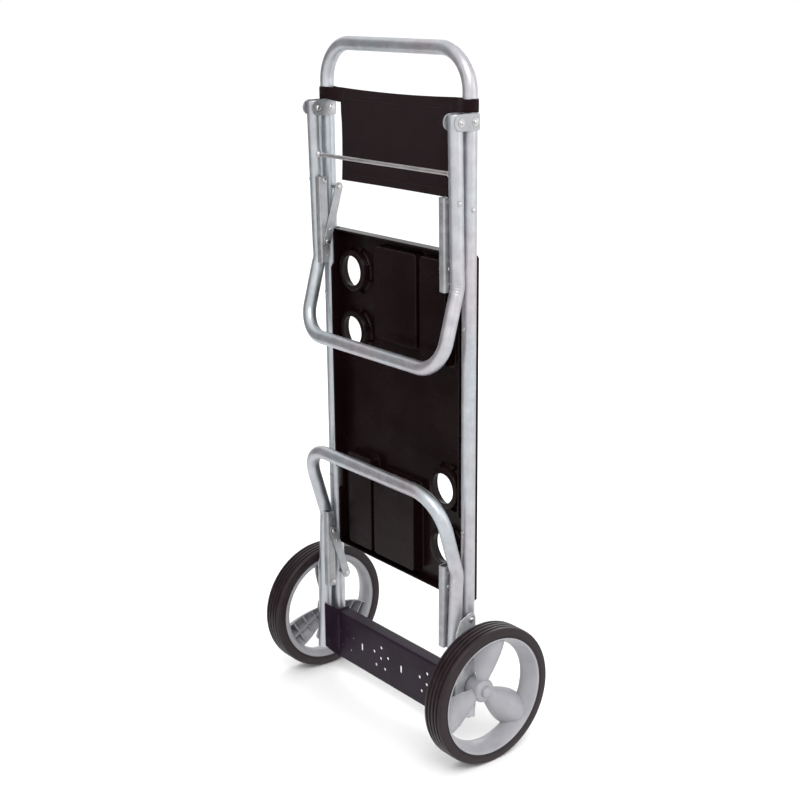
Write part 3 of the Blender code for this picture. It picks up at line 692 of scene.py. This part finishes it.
# ================================================================ folding braces
def build_channel(leg, label, s, pin, knee):
    """The channel on the leg, open towards the frame, with its two rivets."""
    x0, x1 = CHANNEL_X
    lip = 5.0
    depth = 12.0
    wall = 1.8
    a = Vector(pin)
    d = (Vector(knee) - a).normalized()
    n = Vector((-d[1], d[0]))
    if n[0] < 0:
        n = -n
    length = (Vector(knee) - a).length
    outer = [(x0, lip), (x0, -depth), (x1, -depth), (x1, lip)]
    inner = [(x1 - wall, lip), (x1 - wall, wall - depth), (x0 + wall, wall - depth), (x0 + wall, lip)]
    section = rounded_outline(outer + inner, (0, 3.2, 3.2, 0, 0, 1.4, 1.4, 0), 5)
    verts = []
    for u in (-CHANNEL_LEAD, length + CHANNEL_TAIL):
        for x, w in section:
            verts.append(at(s * x, a[0] + d[0] * u + n[0] * w, a[1] + d[1] * u + n[1] * w))
    name = leg + "_leg_link_" + label
    shape = (verts, capped(len(section)))
    piece(name + "_fine", shape, ZINC, name, [name], bevel=0.4, segments=2, sharp=50.0)
    for k, (u, r) in enumerate(((length + 26.0, 2.7), (length - 14.0, 1.6))):
        for tag, x, out, height in (("out", x1, 1, 0.9), ("in", x0, -1, 0.25)):
            foot = x - out * 0.6
            profile = [(foot, 0.0), (foot, r)] + dome(x, out, r, height)
            lathe("%s_rivet_%d_%s" % (name, k, tag), s, profile, a + d * u, 18, STEEL, name, sharp=50.0)


def build_flat_link(leg, label, s, pin, knee):
    """The flat link on the frame, with its knee rivet and its stop."""
    x0, x1 = FLAT_LINK_X
    b = Vector(pin)
    e = (Vector(knee) - b).normalized()
    m = Vector((-e[1], e[0]))
    length = (Vector(knee) - b).length
    outline = arc(0.0, 0.0, FLAT_LINK_R, 90.0, 270.0, 18) + arc(length, 0.0, FLAT_LINK_R, -90.0, 90.0, 18)
    pts = [(b[0] + e[0] * u + m[0] * w, b[1] + e[1] * u + m[1] * w) for u, w in outline]
    name = leg + "_frame_link_" + label
    piece(name + "_fine", prism(pts, s * x0, s * x1), ZINC, name, [name], bevel=0.6, segments=3)
    rivets = (("stop", b + e * (length - 23.0), 2.8, 1.3, 20), ("knee", knee, 4.2, 1.9, 22))
    for tag, spot, r, height, sides in rivets:
        profile = [(x0 + 0.8, 0.0), (x0 + 0.8, r)] + dome(x0, -1, r, height)
        lathe("%s_%s_rivet" % (name, tag), s, profile, spot, sides, STEEL, name, sharp=50.0)


def build_braces():
    for leg, leg_pin, frame_pin, knee in BRACES:
        for label, s in SIDES:
            build_channel(leg, label, s, leg_pin, knee)
            build_flat_link(leg, label, s, frame_pin, knee)


# ================================================================ wheels
# along the leaf from the axle, half its width, how far it arches outwards
LEAF = ((14.0, 13.0, 8.5), (20.0, 14.5, 10.0), (28.0, 17.5, 12.5), (38.0, 21.5, 15.5), (48.0, 25.0, 18.5),
        (60.0, 28.5, 21.5), (72.0, 31.0, 24.5), (84.0, 32.0, 27.5), (93.0, 32.0, 29.5), (101.0, 31.0, 31.0),
        (104.0, 30.5, 31.5))
LEAF_X = 237.0
LEAF_WALL = 2.2
LEAF_RIB_INSET = 1.2
LEAF_RIB_HALF = 0.8


def leaf_lift(t):
    """The arch across a leaf, 1 in the middle and 0 at its edges."""
    return (1 - abs(t) ** 2.2) ** 0.75


def leaf(s, angle):
    """A wheel's leaf: a petal arched towards the outside, hollow behind, and the ribs in its hollow."""
    ca = math.cos(math.radians(angle))
    sa = math.sin(math.radians(angle))
    across = 20

    def where(u, w, x):
        return at(s * x, u * ca - w * sa, AXLE_Z + u * sa + w * ca)

    verts = []
    for inner in (0.0, LEAF_WALL):
        for u, half, rise in LEAF:
            for k in range(across + 1):
                t = -1 + 2 * k / across
                verts.append(where(u, t * (half - inner), LEAF_X + (rise - inner) * leaf_lift(t)))
    ribs = []
    foot = LEAF_X + 0.6
    reach = 0.96
    for u, half, rise in (LEAF[3], LEAF[5], LEAF[7]):
        half -= LEAF_RIB_INSET
        ts = [-reach + 2 * reach * k / 16 for k in range(17)]
        outline = [(t * half, LEAF_X + (rise - LEAF_RIB_INSET) * leaf_lift(t)) for t in ts]
        outline += [(half * reach, foot), (-half * reach, foot)]
        ends = [where(u + du, w, x) for du in (-LEAF_RIB_HALF, LEAF_RIB_HALF) for w, x in outline]
        ribs.append((ends, capped(len(outline))))
    spine = [(u, LEAF_X + rise - LEAF_RIB_INSET) for u, half, rise in LEAF]
    spine += [(LEAF[-1][0], foot), (LEAF[0][0], foot)]
    ends = [where(u, w, x) for w in (-LEAF_RIB_HALF, LEAF_RIB_HALF) for u, x in spine]
    ribs.append((ends, capped(len(spine))))
    return (verts, shell_faces(len(LEAF) - 1, across)), joined(ribs)


def build_wheels():
    mid = (WHEEL_X0 + WHEEL_X1) / 2
    half = (WHEEL_X1 - WHEEL_X0) / 2
    # profiles of (X from the wheel's middle, radius), and of (X, radius) for the hub and its button
    tread = [(-half, 111.8), (-half, 113.4), (-half + 0.7, 114.0), (-half + 0.7, 115.6), (-half, 116.2)]
    tread += [(-half, 127.4), (-half + 0.5, 129.0), (-half + 1.8, 130.2), (-half + 3.4, 130.8)]
    for x in (-13.0, -4.6, 4.6, 13.0):
        tread += [(x - 2.1, 131.2), (x - 1.3, 129.0), (x + 1.3, 129.0), (x + 2.1, 131.2)]
    tread += [(half - 3.4, 130.8), (half - 1.8, 130.2), (half - 0.5, 129.0), (half, 127.4)]
    tread += [(half, 116.2), (half - 0.7, 115.6), (half - 0.7, 114.0), (half, 113.4), (half, 111.8)]
    rim = [(-half + 1.0, 111.6), (half - 0.3, 111.6), (half, 110.8), (half - 0.1, 109.4), (half - 1.2, 108.0),
           (half - 3.5, 106.6), (half - 9.0, 104.2), (half - 16.0, 101.4), (0.0, 98.9), (-5.0, 97.6),
           (-9.0, 97.1), (-13.0, 97.7), (-16.5, 99.4), (-half + 2.0, 102.2), (-half + 1.0, 104.4)]
    hub = [(219.0, 5.4), (219.0, 12.4), (217.2, 13.2), (217.2, 20.4), (218.0, 21.2), (226.0, 21.9),
           (233.5, 22.2)]
    turns = [math.radians(9.0 * k) for k in range(11)]
    hub += [(244.0 + 7.4 * math.sin(a), 14.8 + 7.6 * math.cos(a)) for a in turns]
    hub += [(251.4, 9.9), (250.6, 9.3), (250.6, 5.4)]
    button = [(250.9, 0.0), (250.9, 10.4), (254.4, 10.3), (256.4, 9.3), (257.5, 7.0), (258.0, 3.6),
              (258.0, 0.0)]
    tread = [(mid + x, r) for x, r in tread]
    rim = [(mid + x, r) for x, r in rim]
    centre = (0.0, AXLE_Z)
    for label, s in SIDES:
        body = "wheel_" + label
        lathe("tyre_fine_" + label, s, tread, centre, 160, RUBBER, body, ["tyre_" + label], sharp=38.0)
        lathe("rim_fine_" + label, s, rim, centre, 144, GREY_PLASTIC, body, ["wheel_" + label], sharp=50.0)
        lathe("hub_fine_" + label, s, hub, centre, 64, GREY_PLASTIC, body, sharp=50.0)
        for k, angle in enumerate(SPOKES[label]):
            shell, ribs = leaf(s, angle)
            piece("spoke_%s_%d" % (label, k), shell, GREY_PLASTIC, body, sharp=60.0)
            piece("spoke_ribs_%s_%d" % (label, k), ribs, GREY_PLASTIC, body, sharp=40.0)
        cap = "hub_cap_" + label
        lathe("hub_button_" + label, s, button, centre, 36, GREY_PLASTIC, body, [cap], sharp=45.0)


# ================================================================ toe plate
def cut_with(obj, shape, name):
    """Take a closed mesh out of obj for good."""
    mesh = bpy.data.meshes.new(name)
    mesh.from_pydata(shape[0], [], shape[1])
    tool = linked(name, mesh)
    bm = bmesh.new()
    bm.from_mesh(mesh)
    bmesh.ops.recalc_face_normals(bm, faces=bm.faces)
    bm.to_mesh(mesh)
    bm.free()
    mod = obj.modifiers.new("cut", "BOOLEAN")
    mod.operation = "DIFFERENCE"
    mod.solver = "EXACT"
    mod.object = tool
    graph = bpy.context.evaluated_depsgraph_get()
    done = bpy.data.meshes.new_from_object(obj.evaluated_get(graph))
    obj.modifiers.remove(mod)
    old = obj.data
    obj.data = done
    bpy.data.meshes.remove(old)
    bpy.data.objects.remove(tool, do_unlink=True)
    bpy.data.meshes.remove(mesh)


def build_toe():
    hz = TOE_HINGE[1]
    outline = [(13.0, 133.4), (13.0, 135.0), (-14.0, 135.0), (-14.0, hz), (-12.4, hz), (-12.4, 133.4)]
    lip = rounded_outline(outline, (0, 0, 4.0, 0, 0, 2.4), 6)
    plate = piece("toe_plate_fine", prism(lip, -TOE_HALF_W, TOE_HALF_W), POWDER, "toe", ["toe_plate"])
    spots = [(base + dx, z) for base in TOE_HOLE_GROUPS_X for dx, z in TOE_HOLES]
    outlines = [arc(x, z, TOE_HOLE_R, 0.0, 345.0, 23) for x, z in spots]
    outlines += [arc(x, 89.2, 2.8, 0.0, 180.0, 8) + arc(x, 78.8, 2.8, 180.0, 360.0, 8) for x in TOE_SLOTS_X]
    cut_with(plate, joined([prism(hole, -20.0, -6.0, axis=1) for hole in outlines]), "toe_holes")
    soften(plate, 0.35, 2, 40.0)
    barrel = [(-TOE_HALF_W, 3.4), (-TOE_HALF_W, 4.6), (-TOE_HALF_W + 0.4, 5.0), (TOE_HALF_W - 0.4, 5.0),
              (TOE_HALF_W, 4.6), (TOE_HALF_W, 3.4)]
    lathe("toe_plate_barrel", 1, barrel, TOE_HINGE, 32, POWDER, "toe", sharp=45.0)


# ================================================================ table top
def cup_rib(x, z, angle):
    """A small gusset from a cup's wall to the underside of the panel."""
    ca = math.cos(math.radians(angle))
    sa = math.sin(math.radians(angle))
    outline = [(39.0, 13.6), (39.0, 3.0), (40.6, 3.0), (47.4, 11.6), (47.4, 13.6)]
    verts = [at(x + r * ca - w * sa, y, z + r * sa + w * ca) for w in (-0.8, 0.8) for r, y in outline]
    return verts, capped(len(outline))


def box(x0, x1, z0, z1, grow):
    return [(x0 - grow, z0 - grow), (x1 + grow, z0 - grow), (x1 + grow, z1 + grow), (x0 - grow, z1 + grow)]


def tray(x0, x1, z0, z1):
    """A shallow tray as rings of (Y, growth of its outline, corner radius), closed by its two floors."""
    rings = []
    for y, grow, r in ((16.9, -2.6, 7.0), (-5.0, -3.6, 6.0), (-6.4, -5.2, 4.6), (-9.0, -2.2, 6.0),
                       (-7.6, -0.9, 7.4), (10.5, 0.0, 8.4), (12.4, 0.9, 9.2), (13.3, 3.0, 11.0),
                       (14.0, 3.0, 11.0), (14.0, -1.6, 7.8), (16.9, -1.6, 7.8)):
        rings.append([at(u, y, v) for u, v in rounded_outline(box(x0, x1, z0, z1, grow), r, 6)])
    inner_floor = 2
    n = len(rings[0])
    faces = []
    for a in range(len(rings)):
        b = (a + 1) % len(rings)
        if a == inner_floor:
            continue
        for i in range(n):
            j = (i + 1) % n
            faces.append((a * n + i, a * n + j, b * n + j, b * n + i))
    faces.append(tuple(inner_floor * n + i for i in range(n)))
    faces.append(tuple((inner_floor + 1) * n + i for i in reversed(range(n))))
    return [v for ring in rings for v in ring], faces


def build_table():
    w = TABLE_HALF_W
    c = 4.0
    outline = [(-w + c, TABLE_Z0), (w - c, TABLE_Z0), (w, TABLE_Z0 + c), (w, TABLE_Z1 - c), (w - c, TABLE_Z1),
               (-w + c, TABLE_Z1), (-w, TABLE_Z1 - c), (-w, TABLE_Z0 + c)]
    shape = prism(rounded_outline(outline, 2.0, 4), 13.2, 17.2, axis=1)
    panel = piece("table_panel", shape, MOULDING, "frame", ["table_top"])
    wells = [arc(x, z, 37.0, 0.0, 354.0, 59) for x, z in CUPS]
    wells += [rounded_outline(box(*place, -2.6), 7.0, 6) for place in TRAYS]
    cut_with(panel, joined([prism(well, 5.0, 30.0, axis=1) for well in wells]), "table_wells")
    soften(panel, 0.7, 3, 40.0)
    cup = [(16.9, 37.0), (15.6, 36.9), (2.0, 36.2), (0.3, 35.2), (-0.4, 33.6), (-0.4, 28.6), (-0.8, 28.1),
           (-2.4, 28.1), (-3.0, 28.7), (-3.0, 35.8), (-2.4, 37.8), (-1.0, 39.0), (10.5, 39.7), (12.2, 40.6),
           (13.1, 42.6), (13.4, 44.0), (14.0, 44.0), (14.0, 38.5), (16.9, 38.5)]
    for k, (x, z) in enumerate(CUPS):
        piece("table_cup_%d" % k, turned(cup, x, z, 96, axis=1), MOULDING, "frame", sharp=40.0)
        ribs = joined([cup_rib(x, z, 22.5 + 45.0 * m) for m in range(8)])
        piece("table_cup_ribs_%d" % k, ribs, MOULDING, "frame", bevel=0.3)
    for k, place in enumerate(TRAYS):
        piece("table_tray_%d" % k, tray(*place), MOULDING, "frame", sharp=38.0)
    edge = 13.6
    for label, s in SIDES:
        notch = [(edge, TABLE_Z0 + 1.0), (edge, TABLE_Z1 - 1.0), (-4.0, TABLE_Z1 - 1.0), (-4.0, 858.0),
                 (-11.0, 850.0), (-11.0, 448.0), (4.0, 448.0), (4.0, 404.0), (-4.0, 404.0),
                 (-4.0, TABLE_Z0 + 1.0)]
        outline = rounded_outline(notch, (0, 0, 2.5, 3.0, 3.0, 3.0, 2.0, 2.0, 3.0, 2.5), 5)
        shape = prism(outline, s * 183.2, s * 186.4)
        piece("table_skirt_" + label, shape, MOULDING, "frame", bevel=0.8, segments=3)
    for tag, z in (("bottom", TABLE_Z0), ("top", TABLE_Z1 - 3.2)):
        outline = [(-4.0, z), (edge, z), (edge, z + 3.2), (-4.0, z + 3.2)]
        shape = prism(outline, -184.0, 184.0)
        piece("table_skirt_" + tag, shape, MOULDING, "frame", bevel=0.8, segments=3)


# ================================================================ cloth back rest
CLOTH_Y = 2.1
SIDE_PULL = 3.0            # how far the free sides draw in
TOP_SAG = 3.2
HEM_LIFT = 0.8
WAVE = 0.55
CORNER_CREASE = 0.45
SLACK = 0.25


def cloth_point(u, v):
    """u across from -1 to 1, v up from 0 to 1; the cut sheet becomes a hung one."""
    below_loop = (LOOP_Z0 - CLOTH_Z0) / CLOTH_H
    pull = math.sin(math.pi * min(v / below_loop, 1.0)) * SIDE_PULL
    x = CLOTH_X * u - math.copysign(pull * abs(u) ** 6, u)
    z = CLOTH_Z0 + CLOTH_H * v + (1 - u * u) * (HEM_LIFT * (1 - v) - TOP_SAG * v)
    y = CLOTH_Y + WAVE * math.sin(2.2 * u + 3.0 * v) * (1 - abs(u) ** 3)
    corner = math.exp(-((1 - abs(u)) ** 2) / 0.06 - ((1 - v) ** 2) / 0.10)
    y += CORNER_CREASE * corner * math.sin(30.0 * (v - 0.35 * abs(u)))
    y += SLACK * noise.noise(Vector((x * 0.03, z * 0.03, 3.0)))
    return x, y, z


def cloth_half(u, v):
    """Half the cloth's thickness: thicker at its hems, pinched along their seams, rounded at its rim."""
    insets = (((1 - v) * CLOTH_H, HEM_TOP), ((1 - abs(u)) * CLOTH_X, HEM_SIDE), (v * CLOTH_H, HEM_LOW))
    half = 0.62
    hem_half = 1.10
    seam_inset = 1.6       # the seam runs this far inside the hem's edge
    pinch = 1.8
    rounding = 1.2
    for inset, depth in insets:
        if inset < depth:
            half = max(half, hem_half)
        seam = abs(inset - depth + seam_inset)
        if seam < pinch:
            half -= 0.32 * (1 - seam / pinch)
    rim = min(inset for inset, depth in insets) / rounding
    return half * (math.sqrt(max(0.06, 1 - (1 - rim) ** 2)) if rim < 1 else 1.0)


def stitch(p, q):
    """A short fat thread from p to q, in mm, as rings of (place along it, radius)."""
    axis = (q - p).normalized()
    side = axis.cross(Vector((0.0, 1.0, 0.0))).normalized()
    out = side.cross(axis)
    verts = []
    for t, r in ((0.0, 0.12), (0.15, 0.34), (0.5, 0.42), (0.85, 0.34), (1.0, 0.12)):
        for m in range(6):
            a = math.pi * m / 3
            verts.append(at(*(p.lerp(q, t) + side * r * math.cos(a) + out * r * math.sin(a))))
    faces = [tuple(range(6)), tuple(range(29, 23, -1))]
    for k in range(0, 24, 6):
        faces += [(k + m, k + (m + 1) % 6, k + 6 + (m + 1) % 6, k + 6 + m) for m in range(6)]
    return verts, faces


def build_cloth():
    across = 132
    rows = 76
    verts = []
    for face in (-1, 1):
        for j in range(rows + 1):
            for i in range(across + 1):
                u = -1 + 2 * i / across
                x, y, z = cloth_point(u, j / rows)
                verts.append(at(x, y + face * cloth_half(u, j / rows), z))
    shape = (verts, shell_faces(rows, across))
    panel = piece("back_cloth_sheet", shape, CLOTH, "frame", ["back_cloth"], sharp=80.0)
    # seams as (stitches, point at t from 0 to 1): along the two hems and down the two sides
    heights = (1 - HEM_TOP / CLOTH_H, HEM_LOW / CLOTH_H)
    side_u = 1 - HEM_SIDE / CLOTH_X
    seams = [(60, lambda t, v=v: cloth_point((-1 + 2 * t) * 0.97, v)) for v in heights]
    seams += [(32, lambda t, u=u: cloth_point(u, 0.03 + 0.93 * t)) for u in (-side_u, side_u)]
    stitches = []
    for count, along in seams:
        for k in range(count):
            ends = [along((k + part) / count) for part in (0.18, 0.80)]
            for face in (-1, 1):
                stitches.append(stitch(*[Vector((x, y + face * 0.92, z)) for x, y, z in ends]))
    thread = piece("back_cloth_stitches", joined(stitches), THREAD, "frame", sharp=60.0)


def loop_path():
    """Middle line of a sewn loop in plan, (X from the tube's axis towards the panel, Y), in mm."""
    r = 13.9
    steps = 44
    reach = HALF_W - CLOTH_X + 1.5
    first = math.radians(80.0)
    sweep = 2 * math.pi - math.radians(114.0)
    pts = [(reach, 3.1), (reach - 9.0, 3.3)]
    for k in range(steps + 1):
        a = first + sweep * k / steps
        pts.append((r * math.cos(a), r * math.sin(a)))
    pts += [(reach - 9.0, 1.1), (reach, 1.2)]
    return [Vector(p) for p in pts]


def build_loops():
    path = loop_path()
    count = len(path)
    rows = 16
    band = 22.5            # the sewn band's width, for its thinner edges
    free = range(7, count - 6)
    for label, s in SIDES:
        verts = []
        for shell in (1, -1):
            for i, p in enumerate(path):
                t = (path[min(i + 1, count - 1)] - path[max(i - 1, 0)]).normalized()
                n = Vector((t[1], -t[0]))
                for j in range(rows + 1):
                    v = j / rows
                    edge = min(v, 1 - v) * band
                    half = 0.75 if edge > 2.0 else 0.60
                    if edge < 0.8:
                        half *= 0.55
                    pucker = 0.18 * math.sin(i * 1.7 + 4.0 * v) if i in free else 0.0
                    q = p + n * (shell * half + max(0.0, pucker))
                    z = LOOP_Z0 + 0.3 + LOOP_H * v + 0.35 * math.sin(i * 0.35)
                    z -= 4.2 * (1 - v) * min(max((q[0] - 16.5) / 6.0, 0.0), 1.0)
                    verts.append(at(s * (-q[0] + HALF_W), q[1], z))
        shape = (verts, shell_faces(count - 1, rows))
        loop = piece("strap_loop_" + label, shape, CLOTH, "frame", ["strap_" + label], sharp=80.0)
        stitches = []
        for x in (HALF_W - 19.5, HALF_W - 24.0):
            for z in [LOOP_Z0 + 1.6 + 3.4 * k for k in range(6)]:
                stitches += [stitch(Vector((s * x, y, z)), Vector((s * x, y, z + 2.3))) for y in (0.15, 4.1)]
        thread = piece("strap_stitches_" + label, joined(stitches), THREAD, "frame", sharp=60.0)


# ================================================================ studio
def stage_disc(name, radius, sides, colour, **extra):
    """A flat disc of the studio, which isn't part of the truck."""
    mesh = bpy.data.meshes.new(name)
    bm = bmesh.new()
    bmesh.ops.create_circle(bm, cap_ends=True, segments=sides, radius=radius)
    bm.to_mesh(mesh)
    bm.free()
    disc = linked(name, mesh)
    mat = bpy.data.materials.new(name + "_paint")
    mat.use_nodes = True
    bsdf = mat.node_tree.nodes["Principled BSDF"]
    bsdf.inputs["Base Color"].default_value = (*colour, 1.0)
    for key, value in extra.items():
        bsdf.inputs[key.replace("_", " ")].default_value = value
    mesh.materials.append(mat)
    return disc


def build_studio():
    world = bpy.data.worlds.new("studio")
    bpy.context.scene.world = world
    world.use_nodes = True
    back = world.node_tree.nodes["Background"]
    back.inputs["Color"].default_value = (1.0, 1.0, 1.0, 1.0)
    back.inputs["Strength"].default_value = 1.0
    floor = stage_disc("studio_floor", 40.0, 96, grey(0.97), Roughness=0.9)
    floor.visible_glossy = False
    sun = bpy.data.lights.new("overhead", "SUN")
    sun.energy = 0.55
    sun.angle = 1.2
    lamp = linked("overhead", sun)
    lamp.rotation_euler = (0.25, 0.2, 0.0)
    lamp.visible_glossy = False
    build_dark_card()
    # name, place, diameter, power; each aims at the truck's middle
    lights = (("key", (2.4, -1.6, 3.4), 2.2, 60.0), ("side", (3.4, 1.6, 1.6), 2.6, 16.0),
              ("back", (-1.6, 3.2, 2.6), 2.4, 40.0))
    for name, place, size, power in lights:
        data = bpy.data.lights.new(name, "AREA")
        data.shape = "DISK"
        data.size = size
        data.energy = power
        light = linked(name, data)
        light.location = place
        aim = Vector((0.0, 0.0, 0.6)) - Vector(place)
        light.rotation_euler = aim.to_track_quat("-Z", "Y").to_euler()
    view = bpy.context.scene.view_settings
    view.view_transform = "Standard"
    view.look = "None"


def build_dark_card():
    """A dark card beside the truck that only its shiny surfaces see, so that they keep dark edges."""
    towards = Vector((-0.75, -0.45, 0.15)).normalized()
    distance = 3.7
    card = stage_disc("studio_card", 2.6, 48, (0.16, 0.15, 0.155), Roughness=1.0, Specular_IOR_Level=0.0)
    card.location = Vector((0.0, 0.0, 0.65)) + towards * distance
    card.rotation_euler = towards.to_track_quat("Z", "Y").to_euler()
    card.visible_camera = False
    card.visible_diffuse = False
    card.visible_shadow = False
    card.visible_transmission = False


def build_camera():
    az = math.radians(CAMERA_AZ)
    el = math.radians(CAMERA_EL)
    roll = math.radians(CAMERA_ROLL)
    back = Vector((math.sin(az) * math.cos(el), -math.cos(az) * math.cos(el), math.sin(el)))
    right = (-back).cross(Vector((0.0, 0.0, 1.0))).normalized()
    up = right.cross(-back)
    tilted = right * math.cos(roll) + up * math.sin(roll)
    upward = up * math.cos(roll) - right * math.sin(roll)
    data = bpy.data.cameras.new("photo_view")
    data.sensor_width = 36.0
    data.lens = CAMERA_LENS
    data.clip_end = 200.0
    camera = linked("photo_view", data)
    turn = Matrix((tilted, upward, back)).transposed().to_4x4()
    camera.matrix_world = Matrix.Translation(at(*CAMERA_PLACE)) @ turn
    bpy.context.scene.camera = camera


build_camera()
build_tubes()
build_plates()
build_bolts()
build_rods()
build_braces()
build_wheels()
build_toe()
build_table()
build_cloth()
build_loops()
build_studio()
